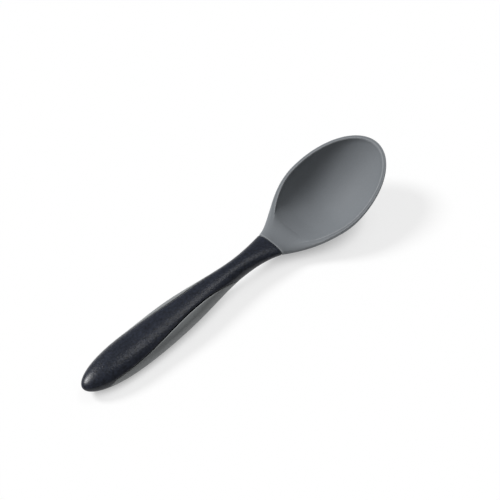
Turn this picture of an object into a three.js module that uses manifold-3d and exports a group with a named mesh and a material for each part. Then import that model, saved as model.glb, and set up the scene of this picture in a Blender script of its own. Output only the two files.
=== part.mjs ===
// A silicone cooking spoon: a soft bowl moulded over a stiff inner frame, and a rigid handle
// with a soft grip skin let into its flanks and belly.
// Millimetres. +X runs from the handle's tail to the bowl's tip and +Z is up. The spoon lies
// on the plane Z = 0, with the middle of its length over the origin.

import * as THREE from "three";
import { mergeVertices } from "three/addons/utils/BufferGeometryUtils.js";
import Module from "manifold-3d";

// Stretches along the spoon, each starting where the one before it ends
const TAIL_LENGTH = 50; // tail tip to the grip's widest place
const TAPER_LENGTH = 55; // widest place to the middle of the taper
const WAIST_LENGTH = 39; // middle of the taper to the narrowest place of the neck
const FLARE_LENGTH = 33; // narrowest place to the mouth, where the bowl's silicone begins
const SHOULDER_LENGTH = 30; // mouth to the middle of the bowl's shoulder
const CHEEK_LENGTH = 26; // shoulder to the bowl's widest place
const TIP_LENGTH = 52; // widest place to the bowl's tip

// Widths across the spoon
const GRIP_WIDTH = 28.8;
const TAPER_WIDTH = 23.2;
const NECK_WIDTH = 15;
const MOUTH_WIDTH = 24;
const SHOULDER_WIDTH = 54;
const BOWL_WIDTH = 67.6;

// Heights of the handle's top and bottom lines above the table
const GRIP_TOP = 18.7;
const TAPER_TOP = 20.7;
const NECK_TOP = 20.3;
const MOUTH_TOP = 16.6;
const TAPER_BOTTOM = 3.6;
const NECK_BOTTOM = 8.3;
const MOUTH_BOTTOM = 8.8;
const TAIL_HEIGHT = 9.3; // height of the tail's tip
const TAIL_POWER = 2.3; // how blunt the tail is: 2 is an ellipse
const HANDLE_POWER = 2.2; // how square the handle's cross section is: 2 is an ellipse

// Slopes, in millimetres per millimetre of length, where the handle's lines pass those places
const TAPER_NARROWING = -0.105;
const MOUTH_FLARE = 0.27;
const GRIP_TOP_SLOPE = 0.04;
const TAPER_TOP_SLOPE = 0.02;
const NECK_TOP_SLOPE = -0.08;
const MOUTH_TOP_SLOPE = -0.12;
const TAPER_BOTTOM_SLOPE = 0.1;
const NECK_BOTTOM_SLOPE = 0.06;
const MOUTH_BOTTOM_SLOPE = -0.1;

// Bowl
const BOWL_TILT = 17.6; // degrees that the rim rises towards the tip
const BOWL_DEPTH = 25; // rim's edge line straight down to the outside of the bowl
const BOWL_WALL = 4; // at the deepest place
const WEB_LENGTH = 28; // mouth to where the neck's round back has flattened into the rim
const RIM_LINE_LENGTH = 41; // mouth to where the rim starts to rise straight
const RESTING_LENGTH = 45; // mouth to the place that rests on the table
const DEEPEST_LENGTH = 62; // mouth to the deepest place below the rim
const WEB_DEPTH = 11.8; // outside below the edge line where the web ends
const RESTING_DEPTH = 21.56; // and at the resting place
const WEB_DEPTH_SLOPE = 0.72;
const MOUTH_DEPTH_SLOPE = -0.3;
const DISH_POWER = 0.71; // how full the bowl's dish is: 0.5 is an ellipse, 1 a parabola
const RIM_WIDTH = 3.6;
const RIM_CROWN = 1; // rim's top above its widest line
const RIM_CHAMFER = 0.6; // inner edge of the rim
const RIM_POWER = 8; // how square the rim's outer edge is
const RIM_BAND = 1.2; // upright band under the rim's outer edge
const MOUTH_BAND = 0.2; // the same beside the handle's mouth
const HEAD_FLARE = 0.35; // outline's slope as it leaves the mouth
const SHOULDER_FLARE = 0.5;
const HEAD_DIP_SLOPE = -0.4; // slope of the widest line as it leaves the mouth
const HEAD_CROWN_SLOPE = -0.1; // how fast its back gets lower there

// Hollow of the bowl, which the web rolls down into as far as a soft crease
const ROLL_SETBACK = 7; // mouth to where the web starts to roll down
const CREASE_SETBACK = 21; // mouth to the crease
const CORNER_SETBACK = 26; // mouth to where the hollow's sides turn in towards the crease
const CREASE_DROP = 3.7; // below the rim's top, at the crease
const RIM_LINE_DROP = 15.9; // and where the rim starts to rise straight
const ROLL_START_SLOPE = 0.1; // slopes of those drops
const ROLL_END_SLOPE = 0.55;
const CREASE_SLOPE = 0.5;
const RIM_LINE_SLOPE = 0.43;
const CREASE_BOW = 2; // how far the crease's middle lies towards the tip
const CREASE_RIM_WIDTH = 5.4; // rim's width beside the crease
const CREASE_RIM_NARROWING = -0.15;
const CREASE_POWER = 1; // how full the hollow's section is there
const CORNER_POWER = 3.5; // how square the hollow's corners are

// Grip skin
const SKIN_THICKNESS = 3;
const SEAM_START = 11; // tail tip to where the skin leaves the belly
const SEAM_RISE_LENGTH = 11; // to where it has climbed the flank
const SEAM_CREST_LENGTH = 75; // from there to the highest place of the seam
const SEAM_FALL_LENGTH = 29; // from there to where it turns down
const SEAM_END_LENGTH = 21; // from there to where it meets the belly again
const SEAM_RISE_DROP = 5.3; // below the handle's top line, at those three places
const SEAM_CREST_DROP = 1.5;
const SEAM_FALL_DROP = 3.3;
const SEAM_START_SLOPE = -1.6; // slopes of those drops
const SEAM_RISE_SLOPE = -0.01;
const SEAM_FALL_SLOPE = 0.2;
const SEAM_END_SLOPE = 0.6;
const SEAM_OVERRUN = 1.5; // how far the seam's ends run out below the belly
const RAIL_WIDTH = 10; // middle of the body that runs up under the top band
const BRIDGE_DIAMETER = 6; // rods that tie the skin's two flanks together
const BRIDGE_COUNT = 3;
const BRIDGE_FIRST = 42; // tail tip to the first rod
const BRIDGE_PITCH = 26;

// Inner frame
const TANG_LENGTH = 44; // how far it reaches into the handle
const TANG_NECK_WIDTH = 7;
const TANG_NECK_THICKNESS = 4;
const TANG_MOUTH_WIDTH = 13;
const TANG_MOUTH_THICKNESS = 2.4;
const TANG_FLARE = 0.1; // slope of its side at the mouth
const TANG_EYE_DIAMETER = 3;
const TANG_EYE_SETBACK = 7; // tang's end to its eye
const BLADE_WIDTH = 40;
const BLADE_THICKNESS = 1.2;
const BLADE_SKIN = 1.4; // silicone under the blade
const BLADE_TIP_MARGIN = 16; // bowl's tip to the blade's end
const BLADE_HOLE_DIAMETER = 5;
const BLADE_HOLE_PITCH = 17;
const BLADE_HOLE_SPREAD = 20; // between the two rows

// Fits
const CLEARANCE = 0.3; // between a piece and what it is moulded into
const SEAM_GAP = 0.3; // the visible lines between pieces
const MOUTH_WALL = 1.4; // handle's wall around the silicone spigot
const SPIGOT_LENGTH = 6;
const SPIGOT_ROOT = 1; // how far the spigot's form runs on into the head
const REST_FLAT_DEPTH = 0.3; // how deep the two resting places are flattened

// Fineness of the lofted surfaces
const RING_POINTS = 32;
const STRIP_POINTS = 7;
const TAIL_RINGS = 8;
const HANDLE_RINGS = 24;
const WEB_RINGS = 12;
const TIP_RINGS = 10;
const CAVITY_RINGS = 11;
const CORE_RINGS = 22;
const SEAM_STEPS = 44;
const ROUND_SIDES = 20;

// Stations along X, from the tail's tip
const GRIP = TAIL_LENGTH;
const TAPER = GRIP + TAPER_LENGTH;
const NECK = TAPER + WAIST_LENGTH;
const MOUTH = NECK + FLARE_LENGTH;
const SHOULDER = MOUTH + SHOULDER_LENGTH;
const WIDEST = SHOULDER + CHEEK_LENGTH;
const TIP = WIDEST + TIP_LENGTH;
const WEB_END = MOUTH + WEB_LENGTH;
const RIM_LINE = MOUTH + RIM_LINE_LENGTH;
const RESTING = MOUTH + RESTING_LENGTH;
const DEEPEST = MOUTH + DEEPEST_LENGTH;
const CAVITY_START = MOUTH + ROLL_SETBACK;
const CREASE = MOUTH + CREASE_SETBACK;
const CORNER = MOUTH + CORNER_SETBACK;
const TANG_END = MOUTH - TANG_LENGTH;
const BLADE_END = TIP - BLADE_TIP_MARGIN;

const GRIP_BOTTOM = -REST_FLAT_DEPTH;
const MOUTH_MIDDLE = (MOUTH_TOP + MOUTH_BOTTOM) / 2;
const MOUTH_HALF = (MOUTH_TOP - MOUTH_BOTTOM) / 2;
const RIM_SLOPE = Math.tan(THREE.MathUtils.degToRad(BOWL_TILT));

const wasm = await Module();
wasm.setup();

// Smooth curve through points of [station, value, slope]; outside them it keeps the end's value
function curveThrough(points) {
  return (x) => {
    const last = points.length - 1;
    if (x >= points[last][0]) return points[last][1];
    if (x <= points[0][0]) return points[0][1];
    const i = Math.max(0, points.findIndex((point) => x < point[0]) - 1);
    const [x0, value0, slope0] = points[i];
    const [x1, value1, slope1] = points[i + 1];
    const span = x1 - x0;
    const t = (x - x0) / span;
    const rise = t * t * (3 - 2 * t);
    return (
      value0 * (1 - rise) +
      value1 * rise +
      slope0 * span * t * (1 - t) * (1 - t) +
      slope1 * span * t * t * (t - 1)
    );
  };
}

// Share of the full size at a share of the way from the widest place to a rounded end
function roundedEnd(share, power) {
  return Math.sqrt(Math.max(0, 1 - share ** power));
}

// Share of a dish's full depth at a share of the way from its middle to its edge
function dish(share, power) {
  return Math.max(0, 1 - share * share) ** power;
}

function signedPower(value, power) {
  return Math.sign(value) * Math.abs(value) ** power;
}

function spread(from, to, count) {
  return Array.from({ length: count + 1 }, (_, i) => from + ((to - from) * i) / count);
}

// Plan outline and side lines of the handle

const handleOutline = curveThrough([
  [GRIP, GRIP_WIDTH / 2, 0],
  [TAPER, TAPER_WIDTH / 2, TAPER_NARROWING],
  [NECK, NECK_WIDTH / 2, 0],
  [MOUTH, MOUTH_WIDTH / 2, MOUTH_FLARE],
]);
const topLine = curveThrough([
  [GRIP, GRIP_TOP, GRIP_TOP_SLOPE],
  [TAPER, TAPER_TOP, TAPER_TOP_SLOPE],
  [NECK, NECK_TOP, NECK_TOP_SLOPE],
  [MOUTH, MOUTH_TOP, MOUTH_TOP_SLOPE],
]);
const bottomLine = curveThrough([
  [GRIP, GRIP_BOTTOM, 0],
  [TAPER, TAPER_BOTTOM, TAPER_BOTTOM_SLOPE],
  [NECK, NECK_BOTTOM, NECK_BOTTOM_SLOPE],
  [MOUTH, MOUTH_BOTTOM, MOUTH_BOTTOM_SLOPE],
]);

function tailShare(x) {
  return x < GRIP ? roundedEnd((GRIP - x) / TAIL_LENGTH, TAIL_POWER) : 1;
}

function handleHalfWidth(x) {
  return handleOutline(Math.max(x, GRIP)) * tailShare(x);
}

function handleTop(x) {
  return TAIL_HEIGHT + (topLine(Math.max(x, GRIP)) - TAIL_HEIGHT) * tailShare(x);
}

function handleBottom(x) {
  return TAIL_HEIGHT + (bottomLine(Math.max(x, GRIP)) - TAIL_HEIGHT) * tailShare(x);
}

function handleMiddle(x) {
  return (handleTop(x) + handleBottom(x)) / 2;
}

// Plan outline and side lines of the head

const headOutline = curveThrough([
  [MOUTH, MOUTH_WIDTH / 2, HEAD_FLARE],
  [SHOULDER, SHOULDER_WIDTH / 2, SHOULDER_FLARE],
  [WIDEST, BOWL_WIDTH / 2, 0],
]);
const neckDepth = curveThrough([
  [MOUTH, MOUTH_HALF, MOUTH_DEPTH_SLOPE],
  [WEB_END, WEB_DEPTH, WEB_DEPTH_SLOPE],
  [RESTING, RESTING_DEPTH, RIM_SLOPE],
  [DEEPEST, BOWL_DEPTH, 0],
]);
const rimBand = curveThrough([
  [MOUTH, MOUTH_BAND, 0],
  [WEB_END, RIM_BAND, 0],
]);
const underPower = curveThrough([
  [MOUTH, 1 / HANDLE_POWER, 0],
  [RIM_LINE, DISH_POWER, 0],
]);
const headCrown = curveThrough([
  [MOUTH, MOUTH_HALF, HEAD_CROWN_SLOPE],
  [WEB_END, RIM_CROWN, 0],
]);
const headPower = curveThrough([
  [MOUTH, HANDLE_POWER, 0],
  [WEB_END, RIM_POWER, 0],
]);

function headHalfWidth(x) {
  if (x < WIDEST) return headOutline(x);
  return (BOWL_WIDTH / 2) * roundedEnd((x - WIDEST) / TIP_LENGTH, 2);
}

function headDepth(x) {
  if (x < DEEPEST) return neckDepth(x);
  return RIM_BAND + (BOWL_DEPTH - RIM_BAND) * dish((x - DEEPEST) / (TIP - DEEPEST), DISH_POWER);
}

// Height of the head's widest line, for a given height of the rim at the bowl's widest place
function edgeLine(x, rimHeight) {
  if (x >= RIM_LINE) return rimHeight + RIM_SLOPE * (x - WIDEST);
  const start = rimHeight + RIM_SLOPE * (RIM_LINE - WIDEST);
  return curveThrough([
    [MOUTH, MOUTH_MIDDLE, HEAD_DIP_SLOPE],
    [RIM_LINE, start, RIM_SLOPE],
  ])(x);
}

// The rim is as high as it has to be for the bowl to rest on the table with the handle
function restingRimHeight() {
  const lowest = (height) =>
    Math.min(...spread(MOUTH, TIP, 200).map((x) => edgeLine(x, height) - headDepth(x)));
  let low = 0;
  let high = 2 * BOWL_DEPTH + BOWL_WIDTH;
  for (let i = 0; i < 40; i += 1) {
    const middle = (low + high) / 2;
    if (lowest(middle) < -REST_FLAT_DEPTH) low = middle;
    else high = middle;
  }
  return high;
}

const RIM_HEIGHT = restingRimHeight();

function headEdge(x) {
  return edgeLine(x, RIM_HEIGHT);
}

function rimTop(x) {
  return headEdge(x) + headCrown(x);
}

// Hollow of the bowl

const CAVITY_WIDTH = BOWL_WIDTH - 2 * RIM_WIDTH;
const CAVITY_DEPTH = BOWL_DEPTH + RIM_CROWN - BOWL_WALL;
const CAVITY_END = TIP - RIM_WIDTH;
const rollDrop = curveThrough([
  [CAVITY_START, 0, ROLL_START_SLOPE],
  [CREASE, CREASE_DROP, ROLL_END_SLOPE],
]);
const floorDrop = curveThrough([
  [CREASE, CREASE_DROP, CREASE_SLOPE],
  [RIM_LINE, RIM_LINE_DROP, RIM_LINE_SLOPE],
  [DEEPEST, CAVITY_DEPTH, 0],
]);
const neckRimWidth = curveThrough([
  [CREASE, CREASE_RIM_WIDTH, CREASE_RIM_NARROWING],
  [WIDEST, RIM_WIDTH, 0],
]);
const cavityPower = curveThrough([
  [CREASE, CREASE_POWER, 0],
  [RIM_LINE, DISH_POWER, 0],
]);
const chamferLine = curveThrough([
  [CREASE, 0, 0],
  [SHOULDER, RIM_CHAMFER, 0],
]);
const creaseBow = curveThrough([
  [CREASE, CREASE_BOW, 0],
  [RIM_LINE, 0, 0],
]);

function cavityHalfWidth(x) {
  if (x < WIDEST) {
    const turn = Math.max(0, (CORNER - x) / (CORNER - CAVITY_START));
    return (headOutline(x) - neckRimWidth(x)) * roundedEnd(turn, CORNER_POWER);
  }
  return (CAVITY_WIDTH / 2) * roundedEnd((x - WIDEST) / (CAVITY_END - WIDEST), 2);
}

function cavityDrop(x) {
  if (x < CREASE) return rollDrop(x);
  if (x < DEEPEST) return floorDrop(x);
  return CAVITY_DEPTH * dish((x - DEEPEST) / (CAVITY_END - DEEPEST), DISH_POWER);
}

// Lofts: closed surfaces through rings of points

function centreOf(ring) {
  const centre = new THREE.Vector3();
  ring.forEach((point) => centre.add(point));
  return centre.divideScalar(ring.length);
}

// Skins the rings in order of X; each end closes on a point
function loft(rings, firstPoint = centreOf(rings[0]), lastPoint = centreOf(rings.at(-1))) {
  const count = rings[0].length;
  const points = [firstPoint, ...rings.flat(), lastPoint];
  const index = [];
  const at = (ring, i) => 1 + ring * count + (i % count);
  for (let i = 0; i < count; i += 1) {
    index.push(0, at(0, i + 1), at(0, i));
    for (let ring = 0; ring + 1 < rings.length; ring += 1) {
      const [a, b] = [at(ring, i), at(ring, i + 1)];
      const [c, d] = [at(ring + 1, i), at(ring + 1, i + 1)];
      index.push(a, b, d, a, d, c);
    }
    index.push(points.length - 1, at(rings.length - 1, i), at(rings.length - 1, i + 1));
  }
  const geometry = new THREE.BufferGeometry().setFromPoints(points);
  geometry.setIndex(index);
  return geometry;
}

// Solids for cutting and joining

function solid(geometry) {
  const bare = geometry.clone();
  bare.deleteAttribute("normal");
  bare.deleteAttribute("uv");
  const merged = mergeVertices(bare, 1e-5);
  return new wasm.Manifold(
    new wasm.Mesh({
      numProp: 3,
      vertProperties: new Float32Array(merged.attributes.position.array),
      triVerts: new Uint32Array(merged.index.array),
    }),
  );
}

function box(x0, x1, y0, y1, z0, z1) {
  const geometry = new THREE.BoxGeometry(x1 - x0, y1 - y0, z1 - z0);
  return solid(geometry.translate((x0 + x1) / 2, (y0 + y1) / 2, (z0 + z1) / 2));
}

// A round rod along Z or Y, centred on the point
function rodAlongZ(x, y, z, diameter, length) {
  const geometry = new THREE.CylinderGeometry(diameter / 2, diameter / 2, length, ROUND_SIDES);
  return solid(geometry.rotateX(Math.PI / 2).translate(x, y, z));
}

function rodAlongY(x, z, diameter, length) {
  const geometry = new THREE.CylinderGeometry(diameter / 2, diameter / 2, length, ROUND_SIDES);
  return solid(geometry.translate(x, 0, z));
}

// Handle

function handleRing(x, inset) {
  const high = (handleTop(x) - handleBottom(x)) / 2 - inset;
  const wide = handleHalfWidth(x) - inset;
  return Array.from({ length: RING_POINTS }, (_, i) => {
    const angle = (2 * Math.PI * i) / RING_POINTS;
    const across = wide * signedPower(Math.cos(angle), 2 / HANDLE_POWER);
    const up = high * signedPower(Math.sin(angle), 2 / HANDLE_POWER);
    return new THREE.Vector3(x, across, handleMiddle(x) + up);
  });
}

// Outer form of the whole handle, from the tail's tip to the mouth
function handleForm() {
  const tail = spread(0, Math.PI / 2, TAIL_RINGS).slice(1, -1);
  const stations = [
    ...tail.map((angle) => GRIP * (1 - Math.cos(angle))),
    ...spread(GRIP, MOUTH, HANDLE_RINGS),
  ];
  const tip = new THREE.Vector3(0, 0, TAIL_HEIGHT);
  return solid(loft(stations.map((x) => handleRing(x, 0)), tip));
}

// The waist of the body that the grip skin sits on
function waistForm(inset) {
  const stations = spread(SEAM_START - SKIN_THICKNESS, SEAM_END + SKIN_THICKNESS, HANDLE_RINGS);
  return solid(loft(stations.map((x) => handleRing(x, inset))));
}

const SEAM_RISE = SEAM_START + SEAM_RISE_LENGTH;
const SEAM_CREST = SEAM_RISE + SEAM_CREST_LENGTH;
const SEAM_FALL = SEAM_CREST + SEAM_FALL_LENGTH;
const SEAM_END = SEAM_FALL + SEAM_END_LENGTH;

function handleThickness(x) {
  return handleTop(x) - handleBottom(x);
}

const seamDrop = curveThrough([
  [SEAM_START, handleThickness(SEAM_START) + SEAM_OVERRUN, SEAM_START_SLOPE],
  [SEAM_RISE, SEAM_RISE_DROP, SEAM_RISE_SLOPE],
  [SEAM_CREST, SEAM_CREST_DROP, 0],
  [SEAM_FALL, SEAM_FALL_DROP, SEAM_FALL_SLOPE],
  [SEAM_END, handleThickness(SEAM_END) + SEAM_OVERRUN, SEAM_END_SLOPE],
]);

// Everything below the seam, seen from the side, moved outwards by the given amount
function belowSeam(outwards) {
  const width = 2 * GRIP_WIDTH;
  const floor = -GRIP_WIDTH;
  const seam = spread(SEAM_START, SEAM_END, SEAM_STEPS).map(
    (x) => new THREE.Vector2(x, handleTop(x) - seamDrop(x)),
  );
  const moved = seam.map((point, i) => {
    const before = seam[Math.max(0, i - 1)];
    const after = seam[Math.min(seam.length - 1, i + 1)];
    const along = after.clone().sub(before).normalize();
    return new THREE.Vector2(point.x - along.y * outwards, point.y + along.x * outwards);
  });
  const outline = new THREE.Shape();
  outline.moveTo(moved[0].x, floor);
  outline.lineTo(moved.at(-1).x, floor);
  moved.reverse().forEach((point) => outline.lineTo(point.x, point.y));
  outline.closePath();
  const geometry = new THREE.ExtrudeGeometry(outline, { depth: width, bevelEnabled: false });
  return solid(geometry.rotateX(Math.PI / 2).translate(0, width / 2, 0));
}

// Middle of the body, which runs up under the top band and keeps the skin's flanks apart
function rail(narrower) {
  const half = RAIL_WIDTH / 2 - narrower;
  const top = GRIP_TOP + TAPER_TOP;
  return box(SEAM_RISE + narrower, SEAM_FALL - narrower, -half, half, handleMiddle(SEAM_RISE), top);
}

function bridges(wider) {
  const stations = Array.from({ length: BRIDGE_COUNT }, (_, i) => BRIDGE_FIRST + i * BRIDGE_PITCH);
  const rods = stations.map((x) => {
    const length = 2 * handleHalfWidth(x) - SKIN_THICKNESS;
    return rodAlongY(x, handleMiddle(x), BRIDGE_DIAMETER + 2 * wider, length);
  });
  return rods.reduce((all, rod) => all.add(rod));
}

// Inner frame

const tangHalfWidth = curveThrough([
  [TANG_END, TANG_NECK_WIDTH / 2, 0],
  [NECK, TANG_NECK_WIDTH / 2, 0],
  [MOUTH, TANG_MOUTH_WIDTH / 2, TANG_FLARE],
  [DEEPEST, BLADE_WIDTH / 2, 0],
]);
const coreThickness = curveThrough([
  [TANG_END, TANG_NECK_THICKNESS, 0],
  [NECK, TANG_NECK_THICKNESS, 0],
  [MOUTH, TANG_MOUTH_THICKNESS, 0],
  [RIM_LINE, BLADE_THICKNESS, 0],
]);
const coreSkin = curveThrough([
  [MOUTH, MOUTH_HALF - TANG_MOUTH_THICKNESS / 2, 0],
  [RIM_LINE, BLADE_SKIN, 0],
]);

function coreHalfWidth(x) {
  if (x < DEEPEST) return tangHalfWidth(x);
  return (BLADE_WIDTH / 2) * roundedEnd((x - DEEPEST) / (BLADE_END - DEEPEST), 2);
}

// Underside of the frame: level across the tang, and along the bowl's outside in the blade
function coreUnderside(x, y) {
  if (x < MOUTH) return handleMiddle(x) - coreThickness(x) / 2;
  const skin = coreSkin(x);
  const share = Math.min(1, Math.abs(y) / (headHalfWidth(x) - skin));
  const band = rimBand(x);
  return headEdge(x) - band - (headDepth(x) - band - skin) * dish(share, underPower(x));
}

function coreRing(x, grow) {
  const half = Math.max(coreHalfWidth(x), BLADE_THICKNESS) + grow;
  const across = spread(-half, half, STRIP_POINTS - 1);
  const under = across.map((y) => new THREE.Vector3(x, y, coreUnderside(x, y) - grow));
  const over = across.map(
    (y) => new THREE.Vector3(x, y, coreUnderside(x, y) + coreThickness(x) + grow),
  );
  return [...under, ...over.reverse()];
}

function bladeHoles(grow) {
  const stations = [-1, 0, 1].map((i) => DEEPEST - BLADE_HOLE_PITCH / 2 + i * BLADE_HOLE_PITCH);
  const rows = [-BLADE_HOLE_SPREAD / 2, BLADE_HOLE_SPREAD / 2];
  const diameter = BLADE_HOLE_DIAMETER - 2 * grow;
  const holes = stations.flatMap((x) =>
    rows.map((y) => rodAlongZ(x, y, headEdge(x) - BOWL_DEPTH, diameter, 2 * BOWL_DEPTH)),
  );
  return holes.reduce((all, hole) => all.add(hole));
}

// The frame, with every face moved outwards by the given amount
function coreForm(grow) {
  const reach = BLADE_END + grow - MOUTH;
  const angles = spread(0, Math.PI / 2, CORE_RINGS / 2).slice(1);
  const stations = [
    ...spread(TANG_END - grow, MOUTH, CORE_RINGS / 2),
    ...angles.map((angle) => MOUTH + reach * Math.sin(angle)),
  ];
  const eyeX = TANG_END + TANG_EYE_SETBACK;
  const eye = rodAlongZ(eyeX, 0, handleMiddle(eyeX), TANG_EYE_DIAMETER - 2 * grow, NECK_WIDTH);
  return solid(loft(stations.map((x) => coreRing(x, grow))))
    .subtract(eye)
    .subtract(bladeHoles(grow));
}

// Silicone head

// Cross section of the head: its rounded back, the upright band at its edge and the dish below
function headRing(x) {
  const half = headHalfWidth(x);
  const edge = headEdge(x);
  const band = rimBand(x);
  const angles = spread(0, Math.PI, RING_POINTS / 2);
  const squareness = 2 / headPower(x);
  const back = angles.map((angle) => {
    const across = half * signedPower(Math.cos(angle), squareness);
    return new THREE.Vector3(x, across, edge + headCrown(x) * Math.sin(angle) ** squareness);
  });
  const under = angles.map((angle) => {
    const drop = band + (headDepth(x) - band) * dish(Math.cos(angle), underPower(x));
    return new THREE.Vector3(x, -half * Math.cos(angle), edge - drop);
  });
  return [...back, ...under];
}

function headForm() {
  const web = spread(MOUTH + SEAM_GAP, WIDEST, WEB_RINGS);
  const tip = spread(0, Math.PI / 2, TIP_RINGS).slice(1, -1);
  const stations = [...web, ...tip.map((angle) => WIDEST + TIP_LENGTH * Math.sin(angle))];
  return solid(loft(stations.map(headRing), undefined, new THREE.Vector3(TIP, 0, headEdge(TIP))));
}

// Cross section of the hollow: a dish below the rim, opening out through the rim's chamfer
function cavityRing(x) {
  const half = cavityHalfWidth(x);
  const top = rimTop(x);
  const chamfer = chamferLine(x);
  const flare = chamfer + RIM_CROWN;
  const under = spread(0, Math.PI, RING_POINTS / 2).map((angle) => {
    const middle = Math.sin(angle) ** 2;
    const drop = Math.max(0, cavityDrop(x - creaseBow(x) * middle) - chamfer);
    const height = top - chamfer - drop * middle ** cavityPower(x);
    return new THREE.Vector3(x, -half * Math.cos(angle), height);
  });
  const right = new THREE.Vector3(x, half + flare, top - chamfer + flare);
  const left = new THREE.Vector3(x, -half - flare, top - chamfer + flare);
  return [...under, right, left];
}

function cavityForm() {
  const middle = (CAVITY_START + CAVITY_END) / 2;
  const reach = (CAVITY_END - CAVITY_START) / 2;
  const angles = spread(-Math.PI / 2, Math.PI / 2, 2 * CAVITY_RINGS).slice(1, -1);
  const stations = angles.map((angle) => middle + reach * Math.sin(angle));
  return solid(loft(stations.map(cavityRing)));
}

// The head's neck, which plugs into the handle's mouth
function spigotForm(grow) {
  const stations = spread(MOUTH - SPIGOT_LENGTH - grow, MOUTH, 2);
  const rings = stations.map((x) => handleRing(x, MOUTH_WALL - grow));
  const end = rings.at(-1).map((point) => point.clone().setX(MOUTH + SPIGOT_ROOT));
  return solid(loft([...rings, end]));
}

// Everything under the table, which flattens the two places that the spoon rests on
function underTable() {
  return box(-TIP, 2 * TIP, -BOWL_WIDTH, BOWL_WIDTH, -BOWL_DEPTH, 0);
}

// Pieces

function makeMesh(name, form, color, roughness) {
  const { numProp, vertProperties, triVerts } = form.getMesh();
  const buffer = new THREE.InterleavedBuffer(vertProperties, numProp);
  const indexed = new THREE.BufferGeometry();
  indexed.setAttribute("position", new THREE.InterleavedBufferAttribute(buffer, 3, 0));
  indexed.setIndex(Array.from(triVerts));
  const geometry = indexed.toNonIndexed();
  geometry.computeVertexNormals();
  const material = new THREE.MeshStandardMaterial({ color, roughness, metalness: 0 });
  const mesh = new THREE.Mesh(geometry, material);
  mesh.name = name;
  return mesh;
}

const handle = handleForm();
const coreRoom = coreForm(CLEARANCE);

const headSolid = headForm()
  .add(spigotForm(0))
  .subtract(cavityForm())
  .subtract(coreRoom)
  .subtract(underTable());
const bodySolid = handle
  .subtract(belowSeam(SEAM_GAP))
  .add(waistForm(SKIN_THICKNESS + CLEARANCE))
  .add(handle.intersect(rail(CLEARANCE)))
  .subtract(bridges(CLEARANCE))
  .subtract(spigotForm(CLEARANCE))
  .subtract(coreRoom);
const inlaySolid = handle
  .intersect(belowSeam(0))
  .subtract(waistForm(SKIN_THICKNESS))
  .subtract(rail(0))
  .add(bridges(0))
  .subtract(coreRoom)
  .subtract(underTable());

const spoon = new THREE.Group();
spoon.add(
  makeMesh("core_frame", coreForm(0), 0x2b2d30, 0.6),
  makeMesh("silicone_head", headSolid, 0x777b7f, 0.55),
  makeMesh("handle_body", bodySolid, 0x2a2d34, 0.6),
  makeMesh("grip_inlay", inlaySolid, 0x686a6c, 0.6),
);
spoon.position.x = -TIP / 2;

export default spoon;
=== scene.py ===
"""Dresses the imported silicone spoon: bowl, handle and grip skin as finished pieces on a pale studio floor.

Shapes are worked out in millimetres, with x from the tail's tip towards the bowl's tip, and are
moved into the part's own frame, in metres, when their points are placed.
"""

import math

import bmesh
import bpy
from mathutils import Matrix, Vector


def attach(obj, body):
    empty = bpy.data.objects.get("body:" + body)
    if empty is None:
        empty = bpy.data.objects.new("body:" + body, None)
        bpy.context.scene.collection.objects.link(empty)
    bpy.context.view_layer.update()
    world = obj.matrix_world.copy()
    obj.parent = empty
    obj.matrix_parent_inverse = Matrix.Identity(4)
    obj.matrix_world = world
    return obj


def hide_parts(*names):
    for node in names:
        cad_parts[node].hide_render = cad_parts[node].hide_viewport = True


bl_info = {
    "name": "Silicone spoon",
    "version": (1, 0, 0),
    "blender": (4, 5, 0),
    "location": "3D View > Sidebar > Spoon",
    "description": "Builds the visible pieces of a silicone cooking spoon on its packed frame",
    "category": "Object",
}

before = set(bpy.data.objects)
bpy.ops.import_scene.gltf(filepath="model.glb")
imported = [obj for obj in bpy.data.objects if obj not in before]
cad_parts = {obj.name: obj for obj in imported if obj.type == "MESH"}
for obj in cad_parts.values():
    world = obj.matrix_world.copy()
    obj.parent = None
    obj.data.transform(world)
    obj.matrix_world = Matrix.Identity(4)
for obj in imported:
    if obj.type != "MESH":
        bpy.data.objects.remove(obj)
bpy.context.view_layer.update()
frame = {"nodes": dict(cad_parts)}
MM = 0.001
QUARTER_TURN = math.pi / 2

# Stations along the spoon, from the tail's tip
GRIP = 50.0  # widest place of the grip
TAPER = 105.0  # middle of the taper
NECK = 144.0  # narrowest place of the neck
MOUTH = 177.0  # end of the handle, where the bowl's silicone begins
HOLLOW_START = 181.0
ROLL_START = 184.5  # where the web starts to roll down into the hollow
CREASE = 198.0  # where the web meets the hollow
CORNER = 203.0  # where the hollow's sides turn in towards the crease
WEB_END = 205.0  # where the neck's round back has flattened into the rim
SHOULDER = 207.0
RIM_LINE = 218.0  # from here the rim rises straight
RESTING = 222.0  # where the bowl rests on the table
WIDEST = 233.0
DEEPEST = 239.0
TIP = 285.0

# Handle: half widths, heights above the table and forms
GRIP_HALF_WIDTH = 14.4
TAPER_HALF_WIDTH = 11.6
NECK_HALF_WIDTH = 7.6
MOUTH_HALF_WIDTH = 12.0
GRIP_TOP = 18.7
TAPER_TOP = 20.7
NECK_TOP = 20.0
MOUTH_TOP = 16.6
GRIP_BOTTOM = -0.3  # below the table, which makes the belly's flat
TAPER_BOTTOM = 3.6
NECK_BOTTOM = 8.0
MOUTH_BOTTOM = 8.8
MOUTH_MIDDLE = (MOUTH_TOP + MOUTH_BOTTOM) / 2
MOUTH_HALF_HEIGHT = (MOUTH_TOP - MOUTH_BOTTOM) / 2
TAIL_HEIGHT = 9.3
TAIL_POWER = 2.3  # how blunt the tail is: 2 is an ellipse
SECTION_POWER = 2.2  # how square the cross section is: 2 is an ellipse
CORE_SHARE = 0.95  # size of the core in the mouth's gap, as a share of the handle's end
CORE_CLEARANCE = 0.05

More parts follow.
